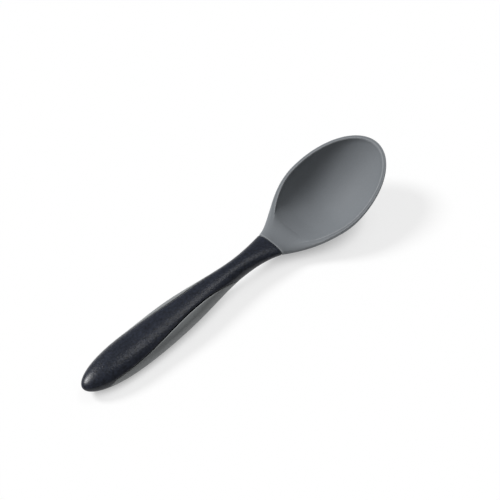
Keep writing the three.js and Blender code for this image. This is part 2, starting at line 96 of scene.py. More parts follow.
# Slopes of the handle's lines
TAPER_NARROWING = -0.12
MOUTH_FLARE = 0.27
GRIP_TOP_SLOPE = 0.04
TAPER_TOP_SLOPE = 0.02
NECK_TOP_SLOPE = -0.05
MOUTH_TOP_SLOPE = -0.2
TAPER_BOTTOM_SLOPE = 0.1
NECK_BOTTOM_SLOPE = 0.09
MOUTH_BOTTOM_SLOPE = -0.18

# Seam between the handle's top band and the grip skin: stations, drops below the top line and their slopes
SEAM_START = 11.0
SEAM_RISE = 22.0
SEAM_CREST = 97.0
SEAM_FALL = 126.0
SEAM_END = 147.0
SEAM_RISE_DROP = 5.15
SEAM_CREST_DROP = 1.4
SEAM_FALL_DROP = 3.6
SEAM_START_SLOPE = -1.6
SEAM_RISE_SLOPE = -0.01
SEAM_FALL_SLOPE = 0.2
SEAM_END_SLOPE = 0.6
SEAM_OVERRUN = 1.5  # how far its ends run out below the belly
SEAM_WALL_DEPTH = 3.0
SEAM_FADE = 0.2  # share of its length at each end over which the gap opens

# Swelling of the grip skin below the seam
SWELL_START = 30.0
SWELL_CREST = 83.0
SWELL_END = 118.0
SWELL_WIDTH = 12.0
SWELL_TURN = math.radians(15)  # how far below level it still swells

# Bowl
BOWL_HALF_WIDTH = 34.55
SHOULDER_HALF_WIDTH = 27.5
BOWL_MIDDLE = Vector((236.0, 0.0))
BOWL_DEPTH = 25.0  # rim's edge line straight down to the outside
WEB_DEPTH = 11.8
RESTING_DEPTH = 21.56
UNDER_POWER = 0.77  # how full the underside is: 0.5 is an ellipse, 1 a parabola
RIM_HEIGHT = 24.75  # at the widest place
RIM_SLOPE = math.tan(math.radians(17.6))
RIM_CROWN = 1.0  # rim's top above its edge line
RIM_BAND = 0.7  # upright band under the edge line
RIM_LIP_WIDTH = 0.8
RIM_EDGE_ROUNDING = 0.6
DISH_POWER = 0.71  # how full the hollow is: 0.5 is an ellipse, 1 a parabola
CREASE_POWER = 1.1
ROLL_POWER = 2.0
CREASE_DROP = 4.6
RIM_LINE_DROP = 15.9
CREASE_BOW = 2.0  # how far the crease's middle lies towards the tip
CREASE_RIM_WIDTH = 5.4
CORNER_POWER = 3.5  # how square the hollow's corners are

# Slopes of the bowl's lines
HEAD_FLARE = 0.35
SHOULDER_FLARE = 0.5
MOUTH_DEPTH_SLOPE = -0.3
WEB_DEPTH_SLOPE = 0.72
HEAD_CROWN_SLOPE = -0.1
HEAD_DIP_SLOPE = -0.4
ROLL_END_SLOPE = 0.8
CREASE_SLOPE = 0.52
RIM_LINE_SLOPE = 0.43
CREASE_POWER_SLOPE = -0.04
CREASE_RIM_NARROWING = -0.15

# Fineness of the surfaces
RING_COLUMNS = 56
WAIST_COLUMNS = 16
ROUND_ROWS = 4
LIP_ROWS = 7
TAIL_ROWS = 18
SEAM_ROWS = 90
NECK_ROWS = 26
RIM_NECK_STEPS = 34
RIM_TIP_STEPS = 36
MOUTH_STEPS = 22
HOLLOW_ROWS = 30
WALL_ROWS = 10
WALL_SHARE = 0.9  # share of the way to the hollow's edge where its rows get closer
BACK_ROWS = 10
UNDER_ROWS = 26
HALVINGS = 50  # steps of the search for a crossing
SLOPE_STEP = 0.1  # length over which the seam's slope is taken
MERGE_DISTANCE = 0.001 * MM
SLIVER_LENGTH = 0.0001 * MM

# Finish
EDGE_LAYER = "edge"
EDGE_CURVE = 1.0 * MM  # radius of an edge that gets its edge wear, and on the silicone its painted highlight, in full
EDGE_STEP = 0.2 * MM  # least distance over which its turn is measured
SMOOTH_TAIL = 6.0  # tail's tip to where the handle's grain starts
GRAINED_TAIL = 18.0  # and to where it has its full height
NOISE_LOW = 0.3  # nearly all values of a noise lie between these two
NOISE_HIGH = 0.7
GRAIN_LOW = 0.3  # the same for the grain's heights
GRAIN_HIGH = 0.9
WEAR_AND_HIGHLIGHT_SPREAD = 350.0
PATCH_LOW = 0.35  # noise between the patches of edge wear and painted highlight, and on them
PATCH_HIGH = 0.65
PATCH_LEAST = 0.6  # edge wear and painted highlight between the patches, as a share of that on them
WHITE = (1, 1, 1, 1)

# Camera
CAMERA_PLACE = Vector((-0.53243, -0.56102, 0.95756))
CAMERA_TARGET = Vector((0.028325, 0.014422, 0.0))
CAMERA_LENS = 124.18
CAMERA_SENSOR = 36.0

# Light, with shares of what makes the floor white
KEY_AZIMUTH = math.radians(118)
KEY_HEIGHT = math.radians(44)
KEY_SPREAD = math.radians(18)
KEY_SHARE = 0.7
TOP_AZIMUTH = math.radians(12)
TOP_HEIGHT = math.radians(65)
TOP_SPREAD = math.radians(22)
TOP_SHARE = 0.13
SKY_SHARE = 0.19

# Floor, with the share of white glow that lightens its shadows in the open and where the spoon touches it
FLOOR_REACH = 4.0
FLOOR_GLOW = 0.77
CONTACT_GLOW = 0.25
CONTACT_REACH = 22 * MM
CONTACT_SHUT = 0.15  # share of open sky at which only the contact's glow is left
CONTACT_OPEN = 0.6


def shown_colour(red, green, blue):
    """A colour given in sRGB as it shows on a screen, from 0 to 255, as the linear one that shaders take"""
    shares = [channel / 255 for channel in (red, green, blue)]
    return [s / 12.92 if s <= 0.04045 else ((s + 0.055) / 1.055) ** 2.4 for s in shares]


class SpoonSizes(bpy.types.PropertyGroup):
    """Sizes of the visible details"""

    rim_width: bpy.props.FloatProperty(
        name="Rim width",
        description="Flat band around the bowl",
        default=3.0 * MM,
        unit="LENGTH",
        precision=4,
    )
    rim_rounding: bpy.props.FloatProperty(
        name="Rim rounding",
        description="Radius of the rim's inner edge",
        default=1.0 * MM,
        unit="LENGTH",
        precision=4,
    )
    rim_lip: bpy.props.FloatProperty(
        name="Rim lip",
        description="How proud the rim's inner edge is",
        default=0.15 * MM,
        unit="LENGTH",
        precision=4,
    )
    bowl_wall: bpy.props.FloatProperty(
        name="Bowl wall",
        description="Silicone at the deepest place",
        default=4.0 * MM,
        unit="LENGTH",
        precision=4,
    )
    mouth_gap: bpy.props.FloatProperty(
        name="Mouth gap",
        description="Line between bowl and handle",
        default=0.6 * MM,
        unit="LENGTH",
        precision=4,
    )
    mouth_rounding: bpy.props.FloatProperty(
        name="Mouth rounding",
        description="Radius of the bowl's edge at the mouth",
        default=0.5 * MM,
        unit="LENGTH",
        precision=4,
    )
    mouth_fall: bpy.props.FloatProperty(
        name="Mouth fall",
        description="Radius of the handle's edge at the mouth",
        default=1.1 * MM,
        unit="LENGTH",
        precision=4,
    )
    seam_gap: bpy.props.FloatProperty(
        name="Seam gap",
        description="Line between handle and grip skin",
        default=0.4 * MM,
        unit="LENGTH",
        precision=4,
    )
    seam_rounding: bpy.props.FloatProperty(
        name="Seam rounding",
        description="Radius of both edges at the seam",
        default=0.5 * MM,
        unit="LENGTH",
        precision=4,
    )
    grip_swell: bpy.props.FloatProperty(
        name="Grip swell",
        description="How far the grip skin swells below the seam",
        default=0.95 * MM,
        unit="LENGTH",
        precision=4,
    )


class SpoonColours(bpy.types.PropertyGroup):
    """Colours of the materials and the floor"""

    silicone: bpy.props.FloatVectorProperty(
        name="Silicone",
        description="Bowl",
        default=shown_colour(116, 120, 124),
        subtype="COLOR",
        min=0,
        max=1,
    )
    nylon: bpy.props.FloatVectorProperty(
        name="Handle",
        description="Textured handle",
        default=shown_colour(32, 36, 46),
        subtype="COLOR",
        min=0,
        max=1,
    )
    skin: bpy.props.FloatVectorProperty(
        name="Grip skin",
        description="Soft skin on the handle's flanks and belly",
        default=shown_colour(122, 125, 126),
        subtype="COLOR",
        min=0,
        max=1,
    )
    frame: bpy.props.FloatVectorProperty(
        name="Inner frame",
        description="Hidden frame in bowl and neck",
        default=shown_colour(43, 45, 48),
        subtype="COLOR",
        min=0,
        max=1,
    )
    floor: bpy.props.FloatVectorProperty(
        name="Floor",
        description="Studio floor",
        default=(0.98, 0.98, 0.98),
        subtype="COLOR",
        min=0,
        max=1,
    )


# Curves


def smooth_line(points):
    """Curve through points of station, value and slope"""

    def value_at(x):
        later = [i for i, point in enumerate(points) if x < point[0]]
        i = max(1, later[0]) if later else len(points) - 1
        x0, value0, slope0 = points[i - 1]
        x1, value1, slope1 = points[i]
        span = x1 - x0
        t = min(1.0, max(0.0, (x - x0) / span))
        rise = t * t * (3 - 2 * t)
        bend = slope0 * t * (1 - t) * (1 - t) + slope1 * t * t * (t - 1)
        return value0 * (1 - rise) + value1 * rise + span * bend

    return value_at


def rounded_end(share, power):
    """Share of the full size at a share of the way from the widest place to a rounded end"""
    return math.sqrt(max(0.0, 1 - share**power))


def find_crossing(function, low, high):
    """Place between low and high where the function changes sign"""
    rising = function(high) > 0
    for _ in range(HALVINGS):
        middle = (low + high) / 2
        if (function(middle) > 0) == rising:
            high = middle
        else:
            low = middle
    return (low + high) / 2


def signed_power(value, power):
    """Power of a value's size, with the value's sign"""
    return math.copysign(abs(value) ** power, value)


def arc(first, last, count):
    """Angles or stations from first to last, both included"""
    return [first + (last - first) * i / count for i in range(count + 1)]


# Handle


class HandleShape:
    """Outside of the handle, and the seam that divides it into top band and grip skin"""

    outline = smooth_line(
        [
            (GRIP, GRIP_HALF_WIDTH, 0),
            (TAPER, TAPER_HALF_WIDTH, TAPER_NARROWING),
            (NECK, NECK_HALF_WIDTH, 0),
            (MOUTH, MOUTH_HALF_WIDTH, MOUTH_FLARE),
        ]
    )
    top_line = smooth_line(
        [
            (GRIP, GRIP_TOP, GRIP_TOP_SLOPE),
            (TAPER, TAPER_TOP, TAPER_TOP_SLOPE),
            (NECK, NECK_TOP, NECK_TOP_SLOPE),
            (MOUTH, MOUTH_TOP, MOUTH_TOP_SLOPE),
        ]
    )
    bottom_line = smooth_line(
        [
            (GRIP, GRIP_BOTTOM, 0),
            (TAPER, TAPER_BOTTOM, TAPER_BOTTOM_SLOPE),
            (NECK, NECK_BOTTOM, NECK_BOTTOM_SLOPE),
            (MOUTH, MOUTH_BOTTOM, MOUTH_BOTTOM_SLOPE),
        ]
    )
    swell_line = smooth_line([(SWELL_START, 0, 0), (SWELL_CREST, 1, 0), (SWELL_END, 0, 0)])

    def __init__(self):
        self.drop = smooth_line(
            [
                (SEAM_START, self.thickness(SEAM_START) + SEAM_OVERRUN, SEAM_START_SLOPE),
                (SEAM_RISE, SEAM_RISE_DROP, SEAM_RISE_SLOPE),
                (SEAM_CREST, SEAM_CREST_DROP, 0),
                (SEAM_FALL, SEAM_FALL_DROP, SEAM_FALL_SLOPE),
                (SEAM_END, self.thickness(SEAM_END) + SEAM_OVERRUN, SEAM_END_SLOPE),
            ]
        )

    def tail_share(self, x):
        """Share of the grip's size that the rounded tail has at x"""
        return rounded_end((GRIP - x) / GRIP, TAIL_POWER) if x < GRIP else 1.0

    def half_width(self, x):
        return HandleShape.outline(max(x, GRIP)) * self.tail_share(x)

    def top(self, x):
        return TAIL_HEIGHT + (HandleShape.top_line(max(x, GRIP)) - TAIL_HEIGHT) * self.tail_share(x)

    def bottom(self, x):
        return TAIL_HEIGHT + (HandleShape.bottom_line(max(x, GRIP)) - TAIL_HEIGHT) * self.tail_share(x)

    def thickness(self, x):
        return self.top(x) - self.bottom(x)

    def point(self, x, angle, sunk=0.0):
        """Point on the cross section at x: 90 degrees is the top, and sunk is the depth under the surface"""
        wide = self.half_width(x)
        high = self.thickness(x) / 2
        middle = self.bottom(x) + high
        if wide == 0:
            return Vector((x, 0, middle))
        across = signed_power(math.cos(angle), 2 / SECTION_POWER)
        up = signed_power(math.sin(angle), 2 / SECTION_POWER)
        out_across = signed_power(across, SECTION_POWER - 1) / wide
        out_up = signed_power(up, SECTION_POWER - 1) / high
        outwards = Vector((0, out_across, out_up)).normalized()
        place = Vector((x, wide * across, middle + high * up)) - outwards * sunk
        place.z = max(0.0, place.z)
        return place

    def seam_height(self, x, lift):
        """Height of the seam above the handle's bottom line, moved up at right angles to itself by lift"""
        height = self.top(x) - self.drop(x)
        slope = (self.top(x + SLOPE_STEP) - self.drop(x + SLOPE_STEP) - height) / SLOPE_STEP
        return height + lift * math.hypot(1, slope) - self.bottom(x)

    def seam_ends(self, lift):
        """Stations where the seam meets the belly"""
        rise = find_crossing(lambda x: self.seam_height(x, lift), SEAM_START, SEAM_RISE)
        fall = find_crossing(lambda x: self.seam_height(x, lift), SEAM_FALL, SEAM_END)
        return rise, fall

    def seam_angle(self, x, lift):
        """Angle of the seam on the cross section at x"""
        share = 2 * self.seam_height(x, lift) / self.thickness(x) - 1
        share = min(1.0, max(-1.0, share))
        return math.asin(signed_power(share, SECTION_POWER / 2))

    def seam_station(self, share, lift):
        """Station and angle of the seam at a share of its way from the tail to the neck"""
        rise, fall = self.seam_ends(lift)
        if share in (0, 1):
            return (fall if share else rise), -QUARTER_TURN
        x = rise + (fall - rise) * (1 - math.cos(math.pi * share)) / 2
        return x, self.seam_angle(x, lift)


def seam_edge(shape, share, gap, rounding):
    """Station, angle and depth down a rounded seam edge, from the surface to the foot of its wall"""
    places = []
    for turn in arc(0, QUARTER_TURN, ROUND_ROWS):
        x, angle = shape.seam_station(share, gap + rounding * (1 - math.sin(turn)))
        places.append((x, angle, abs(rounding) * (1 - math.cos(turn))))
    x, angle, _ = places[-1]
    places.append((x, angle, SEAM_WALL_DEPTH))
    return places


def swollen_arc(shape, x, first, last, swell):
    """Outside of a cross section from one seam edge to the other, which swells a little below both"""
    points = []
    for angle in arc(first, last, RING_COLUMNS):
        way = min(abs(angle - first), abs(last - angle)) * shape.half_width(x)
        above_level = math.asin(math.sin(angle))
        upward = max(0.0, math.sin(above_level + SWELL_TURN))
        share = upward * math.sin(math.pi * min(1.0, way / SWELL_WIDTH)) ** 2
        points.append(shape.point(x, angle, -swell * HandleShape.swell_line(x) * share))
    return points


def seam_rows(shape, gap, rounding, swell, over_top):
    """Closed cross sections along the seam, of the top band and its waist or of the grip skin"""
    turn = math.pi if over_top else -math.pi
    rows = []
    for i in range(SEAM_ROWS + 1):
        share = i / SEAM_ROWS
        fade = min(1.0, share / SEAM_FADE, (1 - share) / SEAM_FADE)
        surface, *wall = seam_edge(shape, share, gap * fade, rounding)
        outside = swollen_arc(shape, surface[0], surface[1], turn - surface[1], swell)
        far_wall = [shape.point(x, turn - angle, sunk) for x, angle, sunk in wall]
        near_wall = [shape.point(x, angle, sunk) for x, angle, sunk in wall]
        x, foot, sunk = wall[-1]
        angles = arc(math.pi - foot, 2 * math.pi + foot, WAIST_COLUMNS)
        inside = [shape.point(x, angle, sunk) for angle in angles]
        rows.append(outside + far_wall + inside[1:-1] + near_wall[::-1] + outside[:1])
    return rows


def full_rows(shape, stations):
    """Whole cross sections of the handle at pairs of station and depth, from the belly round to it"""
    angles = arc(-QUARTER_TURN, 3 * QUARTER_TURN, RING_COLUMNS)
    return [[shape.point(x, angle, sunk) for angle in angles] for x, sunk in stations]


def tail_rows(shape, lift):
    """Tail from its tip to where the seam begins"""
    end, _ = shape.seam_station(0, lift)
    turns = arc(0, QUARTER_TURN, TAIL_ROWS)
    return full_rows(shape, [(end * (1 - math.cos(turn)), 0) for turn in turns])


def neck_rows(shape, lift, rounding, gap):
    """Neck from the seam's end to the mouth, its rounded edge and the core in the gap to the bowl"""
    start, _ = shape.seam_station(1, lift)
    stations = [(x, 0) for x in arc(start, MOUTH - rounding, NECK_ROWS)]
    for turn in arc(0, QUARTER_TURN, ROUND_ROWS)[1:]:
        stations.append((MOUTH - rounding * (1 - math.sin(turn)), rounding * (1 - math.cos(turn))))
    rows = full_rows(shape, stations)
    middle = Vector((MOUTH, 0, MOUTH_MIDDLE))
    reach = Vector((gap - CORE_CLEARANCE, 0, 0))
    foot = [middle.lerp(point, CORE_SHARE) for point in rows[-1]]
    rows += [foot, [point + reach for point in foot], [middle + reach for _ in foot]]
    return rows


# Bowl


class BowlShape:
    """Outside, rim, web and hollow of the silicone head"""

    outline = smooth_line(
        [
            (MOUTH, MOUTH_HALF_WIDTH, HEAD_FLARE),
            (SHOULDER, SHOULDER_HALF_WIDTH, SHOULDER_FLARE),
            (WIDEST, BOWL_HALF_WIDTH, 0),
        ]
    )
    neck_depth = smooth_line(
        [
            (MOUTH, MOUTH_HALF_HEIGHT, MOUTH_DEPTH_SLOPE),
            (WEB_END, WEB_DEPTH, WEB_DEPTH_SLOPE),
            (RESTING, RESTING_DEPTH, RIM_SLOPE),
            (DEEPEST, BOWL_DEPTH, 0),
        ]
    )
    neck_edge = smooth_line(
        [
            (MOUTH, MOUTH_MIDDLE, HEAD_DIP_SLOPE),
            (RIM_LINE, RIM_HEIGHT + RIM_SLOPE * (RIM_LINE - WIDEST), RIM_SLOPE),
        ]
    )
    band = smooth_line([(MOUTH, 0, 0), (WEB_END, RIM_BAND, 0)])
    crown_line = smooth_line([(MOUTH, MOUTH_HALF_HEIGHT, HEAD_CROWN_SLOPE), (WEB_END, RIM_CROWN, 0)])
    shoulder_rounding = smooth_line([(MOUTH, MOUTH_HALF_WIDTH, 0), (WEB_END, RIM_EDGE_ROUNDING, 0)])
    under_power = smooth_line([(MOUTH, 1 / SECTION_POWER, 0), (RIM_LINE, UNDER_POWER, 0)])
    roll = smooth_line([(ROLL_START, 0, 0), (CREASE, CREASE_DROP, ROLL_END_SLOPE)])
    dish_power = smooth_line(
        [
            (HOLLOW_START, ROLL_POWER, 0),
            (CREASE, CREASE_POWER, CREASE_POWER_SLOPE),
            (RIM_LINE, DISH_POWER, 0),
        ]
    )
    edge_fade = smooth_line([(CREASE, 0, 0), (SHOULDER, 1, 0)])
    crease_bow = smooth_line([(CREASE, CREASE_BOW, 0), (RIM_LINE, 0, 0)])

    def __init__(self, sizes):
        rim_width = sizes.rim_width / MM
        self.rim_rounding = sizes.rim_rounding / MM
        self.rim_lip = sizes.rim_lip / MM
        self.mouth_rounding = sizes.mouth_rounding / MM
        self.mouth = MOUTH + sizes.mouth_gap / MM
        self.hollow_half_width = BOWL_HALF_WIDTH - rim_width
        self.hollow_end = TIP - rim_width
        self.hollow_depth = BOWL_DEPTH + RIM_CROWN - sizes.bowl_wall / MM
        self.rim_margin = smooth_line(
            [
                (CREASE, CREASE_RIM_WIDTH, CREASE_RIM_NARROWING),
                (WIDEST, rim_width, 0),
            ]
        )
        self.floor = smooth_line(
            [
                (CREASE, CREASE_DROP, CREASE_SLOPE),
                (RIM_LINE, RIM_LINE_DROP, RIM_LINE_SLOPE),
                (DEEPEST, self.hollow_depth, 0),
            ]
        )

    def drawn_in(self, x):
        """How far the section shrinks at the rounded edge beside the handle's mouth"""
        share = min(1.0, max(0.0, 1 - (x - self.mouth) / self.mouth_rounding))
        return self.mouth_rounding * (1 - rounded_end(share, 2))

    def half_width(self, x):
        if x < WIDEST:
            return BowlShape.outline(x) - self.drawn_in(x)
        return BOWL_HALF_WIDTH * rounded_end((x - WIDEST) / (TIP - WIDEST), 2)

    def edge(self, x):
        """Height of the line where the rim's top and the underside meet"""
        return RIM_HEIGHT + RIM_SLOPE * (x - WIDEST) if x > RIM_LINE else BowlShape.neck_edge(x)

    def crown(self, x):
        """Height of the back's or the rim's top above that line"""
        return BowlShape.crown_line(x) - self.drawn_in(x)

    def depth(self, x):
        """Depth of the underside's middle below that line"""
        if x < DEEPEST:
            return BowlShape.neck_depth(x) - self.drawn_in(x)
        share = (x - DEEPEST) / (TIP - DEEPEST)
        return RIM_BAND + (BOWL_DEPTH - RIM_BAND) * (1 - share * share) ** UNDER_POWER

    def inset(self, place):
        """How far a point in plan lies inside the outline"""
        x, y = place
        if x < WIDEST:
            return self.half_width(x) - abs(y)
        along = (x - WIDEST) / (TIP - WIDEST)
        across = y / BOWL_HALF_WIDTH
        share = math.hypot(along, across)
        slope = math.hypot(along / (TIP - WIDEST), across / BOWL_HALF_WIDTH) / share
        return (1 - share) / slope

    def back(self, place):
        """Height of the rim's and the web's surface"""
        x, _ = place
        share = 1 - max(0.0, self.inset(place)) / BowlShape.shoulder_rounding(x)
        rise = (1 - max(0.0, min(1.0, share)) ** SECTION_POWER) ** (1 / SECTION_POWER)
        return self.edge(x) + self.crown(x) * rise

    def underside(self, place):
        """Height of the outside below the rim"""
        x, y = place
        wide = self.half_width(x)
        power = BowlShape.under_power(x)
        share = min(1.0, abs(y) / wide) if wide > 0 else 1.0
        band = BowlShape.band(x)
        return max(0.0, self.edge(x) - band - (self.depth(x) - band) * (1 - share * share) ** power)

    def hollow_width(self, x):
        if x < WIDEST:
            turn = min(1.0, max(0.0, (CORNER - x) / (CORNER - HOLLOW_START)))
            return (BowlShape.outline(x) - self.rim_margin(x)) * rounded_end(turn, CORNER_POWER)
        return self.hollow_half_width * rounded_end((x - WIDEST) / (self.hollow_end - WIDEST), 2)

    def hollow_drop(self, x):
        """Depth of the hollow's middle line below the rim's top"""
        if x < DEEPEST:
            return BowlShape.roll(x) if x < CREASE else self.floor(x)
        share = min(1.0, (x - DEEPEST) / (self.hollow_end - DEEPEST))
        return self.hollow_depth * (1 - share * share) ** DISH_POWER

    def edge_radius(self, x):
        """Radius of the rim's inner edge, which fades out towards the crease"""
        return self.rim_rounding * BowlShape.edge_fade(x)

    def middle_share(self, place):
        """1 on the hollow's middle line, falling to 0 at its edges"""
        x, y = place
        wide = self.hollow_width(x)
        return 1 - min(1.0, abs(y) / wide) ** 2 if wide > 0 else 0.0

    def bowed_station(self, place):
        """Station along the hollow, counted from a crease that bows towards the tip"""
        return place.x - BowlShape.crease_bow(place.x) * self.middle_share(place)

    def hollow(self, place):
        """Height of the hollow's surface"""
        radius = self.edge_radius(place.x)
        drop = max(0.0, self.hollow_drop(self.bowed_station(place)) - radius)
        return self.back(place) - radius - drop * self.middle_share(place) ** BowlShape.dish_power(place.x)

    def hollow_edge(self, direction):
        """Where the hollow ends in a direction from the bowl's middle"""

        def outside(reach):
            x, y = BOWL_MIDDLE + direction * reach
            if not HOLLOW_START < x < self.hollow_end:
                return 1.0
            return abs(y) - self.hollow_width(x)

        return BOWL_MIDDLE + direction * find_crossing(outside, 0, TIP - WEB_END)

    def crease_share(self, inner):
        """Share of the way from the bowl's middle to the hollow's edge where the crease is crossed"""

        def before_crease(share):
            return CREASE - self.bowed_station(BOWL_MIDDLE.lerp(inner, share))

        return find_crossing(before_crease, 0, 1)

    def plan_points(self):
        """Points round the head in plan: one side to the tip, back along the other, across the mouth"""
        turns = arc(0, QUARTER_TURN, ROUND_ROWS)
        start = [self.mouth + self.mouth_rounding * (1 - math.cos(turn)) for turn in turns]
        neck = arc(start.pop(), WIDEST, RIM_NECK_STEPS)
        turns = arc(0, QUARTER_TURN, RIM_TIP_STEPS)[1:]
        stations = start + neck + [WIDEST + (TIP - WIDEST) * math.sin(turn) for turn in turns]
        side = [Vector((x, -self.half_width(x))) for x in stations[:-1]]
        far_side = [Vector((point.x, -point.y)) for point in reversed(side)]
        wide = self.half_width(self.mouth)
        across = [Vector((self.mouth, wide * math.cos(turn))) for turn in arc(0, math.pi, MOUTH_STEPS)]
        return side + [Vector((TIP, 0))] + far_side + across[1:]

    def hollow_points(self, inner):
        """Points from the bottom of the hollow to its edge"""
        turning = WALL_SHARE
        if self.bowed_station(inner) < CREASE:
            turning = min(WALL_SHARE, self.crease_share(inner))
        shares = [turning * math.sin(turn) for turn in arc(0, QUARTER_TURN, HOLLOW_ROWS)]
        shares += [1 - (1 - turning) * math.cos(turn) for turn in arc(0, QUARTER_TURN, WALL_ROWS)[1:]]
        places = [BOWL_MIDDLE.lerp(inner, share) for share in shares]
        return [Vector((*place, self.hollow(place))) for place in places]

    def rim_points(self, inner, outer, direction):
        """Points over the rim's rounded inner edge, with its lip, and on to the outline"""
        radius = self.edge_radius(inner.x)
        lip = self.rim_lip * BowlShape.edge_fade(inner.x)
        points = []
        for turn in arc(0, QUARTER_TURN, LIP_ROWS)[1:]:
            place = inner + direction * radius * (1 - math.cos(turn))
            height = self.back(place) + lip * math.sin(turn) - radius * (1 - math.sin(turn))
            points.append(Vector((*place, height)))
        start = points[-1].xy
        length = (outer - start).length
        at_mouth = outer.x <= self.mouth
        zone = self.mouth_rounding if at_mouth else BowlShape.shoulder_rounding(outer.x)
        zone = min(zone, length / 2)
        reaches = arc(0, length - zone, BACK_ROWS)[1:]
        reaches += [length - zone * (1 - math.sin(turn)) for turn in arc(0, QUARTER_TURN, ROUND_ROWS)[1:]]
        for reach in reaches:
            place = start + direction * reach
            height = self.back(place) + lip * max(0.0, 1 - reach / RIM_LIP_WIDTH) ** 2
            points.append(Vector((*place, height)))
        return points

    def under_points(self, outer):
        """Points from the outline along the underside to below the bowl's middle"""
        places = [BOWL_MIDDLE.lerp(outer, math.cos(turn)) for turn in arc(0, QUARTER_TURN, UNDER_ROWS)]
        return [Vector((*place, self.underside(place))) for place in places]

    def profile(self, outer):
        """Points from the bottom of the hollow over a point of the outline to below the bowl's middle"""
        direction = (outer - BOWL_MIDDLE).normalized()
        inner = self.hollow_edge(direction)
        rim = self.rim_points(inner, outer, direction)
        return self.hollow_points(inner) + rim + self.under_points(outer)


# Meshes


def add_sheet(mesh, rows):
    """Lays a grid over rows of points"""
    columns = len(rows[0])
    made = bmesh.ops.create_grid(mesh, x_segments=columns - 1, y_segments=len(rows) - 1, size=1)
    for i, vert in enumerate(made["verts"]):
        place = rows[i // columns][i % columns]
        vert.co = Vector((place.x - TIP / 2, place.y, place.z)) * MM


def close_mesh(mesh):
    """Joins the sheets' shared edges and poles into one closed skin that faces out"""
    bmesh.ops.remove_doubles(mesh, verts=mesh.verts, dist=MERGE_DISTANCE)
    bmesh.ops.dissolve_degenerate(mesh, edges=mesh.edges, dist=SLIVER_LENGTH)
    bmesh.ops.recalc_face_normals(mesh, faces=mesh.faces)
    for face in mesh.faces:
        face.smooth = True
    open_edges = [edge for edge in mesh.edges if not edge.is_manifold]
    if open_edges:
        raise RuntimeError(f"the skin has {len(open_edges)} open edges")


def outward_curve(edge):
    """How sharply the surface turns outwards across an edge, as one over its radius"""
    first, second = [face.calc_center_median() for face in edge.link_faces]
    return edge.calc_face_angle_signed(0) / max(EDGE_STEP, (second - first).length)


def mark_edges(mesh):
    """Writes on each vertex how sharply the surface turns outwards there, as a share from 0 to 1"""
    layer = mesh.verts.layers.float.new(EDGE_LAYER)
    for vert in mesh.verts:
        curves = [outward_curve(edge) for edge in vert.link_edges]
        vert[layer] = min(1.0, max(0.0, EDGE_CURVE * max(curves)))


def add_object(name, data):
    """Puts a mesh, a lamp or a camera into the scene"""
    made = bpy.data.objects.new(name, data)
    bpy.context.scene.collection.objects.link(made)
    return made


def add_mesh_object(name, mesh, material):
    """Makes an object of one material from a finished bmesh"""
    data = bpy.data.meshes.new(name)
    mesh.to_mesh(data)
    mesh.free()
    data.materials.append(material)
    return add_object(name, data)


def make_piece(name, sheets, material, node):
    """Builds a piece from its sheets and puts it in the place of a node of the frame"""
    mesh = bmesh.new()
    for rows in sheets:
        add_sheet(mesh, rows)
    close_mesh(mesh)
    mark_edges(mesh)
    piece = add_mesh_object(name, mesh, material)
    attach(piece, "root")
    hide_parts(node)


# Shader node groups


def add_node(tree, kind, values=None, links=None, **settings):
    """Adds a node with its settings, its fixed inputs and the outputs that feed its other inputs"""
    node = tree.nodes.new(kind)
    for name, value in settings.items():
        setattr(node, name, value)
    for socket, value in (values or {}).items():
        node.inputs[socket].default_value = value
    for socket, output in (links or {}).items():
        tree.links.new(output, node.inputs[socket])
    return node


def combine(tree, operation, first, second):
    """Calculates with two outputs, such as their product"""
    return add_node(tree, "ShaderNodeMath", links={0: first, 1: second}, operation=operation).outputs[0]


def new_group(name, inputs, outputs):
    """Makes a shader node group; inputs are name, kind and default, and outputs are name and kind"""
    group = bpy.data.node_groups.new(name, "ShaderNodeTree")
    for label, kind, default in inputs:
        socket = group.interface.new_socket(label, in_out="INPUT", socket_type="NodeSocket" + kind)
        if default is not None:
            socket.default_value = default
    for label, kind in outputs:
        group.interface.new_socket(label, in_out="OUTPUT", socket_type="NodeSocket" + kind)
    return group, group.nodes.new("NodeGroupInput").outputs, group.nodes.new("NodeGroupOutput").inputs


def make_mottle_group():
    """Colour that grows a little lighter and darker from place to place"""
    inputs = [
        ("Place", "Vector", None),
        ("Colour", "Color", None),
        ("Spread", "Float", 100.0),
        ("Amount", "Float", 0.03),
    ]
    group, given, result = new_group("mottle", inputs, [("Colour", "Color")])
    noise = add_node(
        group,
        "ShaderNodeTexNoise",
        {"Detail": 3.0},
        {"Vector": given["Place"], "Scale": given["Spread"]},
    )
    most = add_node(group, "ShaderNodeMath", {0: 1.0}, {1: given["Amount"]}, operation="ADD")
    least = add_node(group, "ShaderNodeMath", {0: 1.0}, {1: given["Amount"]}, operation="SUBTRACT")
    share = add_node(
        group,
        "ShaderNodeMapRange",
        {"From Min": NOISE_LOW, "From Max": NOISE_HIGH},
        {"Value": noise.outputs["Fac"], "To Min": least.outputs[0], "To Max": most.outputs[0]},
    )
    shaded = add_node(
        group,
        "ShaderNodeVectorMath",
        links={"Vector": given["Colour"], "Scale": share.outputs["Result"]},
        operation="SCALE",
    )
    group.links.new(shaded.outputs["Vector"], result["Colour"])
    return group


def make_grain_group():
    """Height of a fine pebbled surface, from pits and softer swells"""
    inputs = [("Place", "Vector", None), ("Spread", "Float", 1500.0), ("Pits", "Float", 0.5)]
    group, given, result = new_group("grain", inputs, [("Height", "Float")])
    pattern = {"Vector": given["Place"], "Scale": given["Spread"]}
    swells = add_node(group, "ShaderNodeTexNoise", {"Detail": 2.0, "Roughness": 0.6}, pattern)
    pits = add_node(group, "ShaderNodeTexVoronoi", {"Smoothness": 0.6}, pattern, feature="SMOOTH_F1")
    deep = combine(group, "MULTIPLY", pits.outputs["Distance"], given["Pits"])
    height = combine(group, "ADD", swells.outputs["Fac"], deep)
    group.links.new(height, result["Height"])
    return group


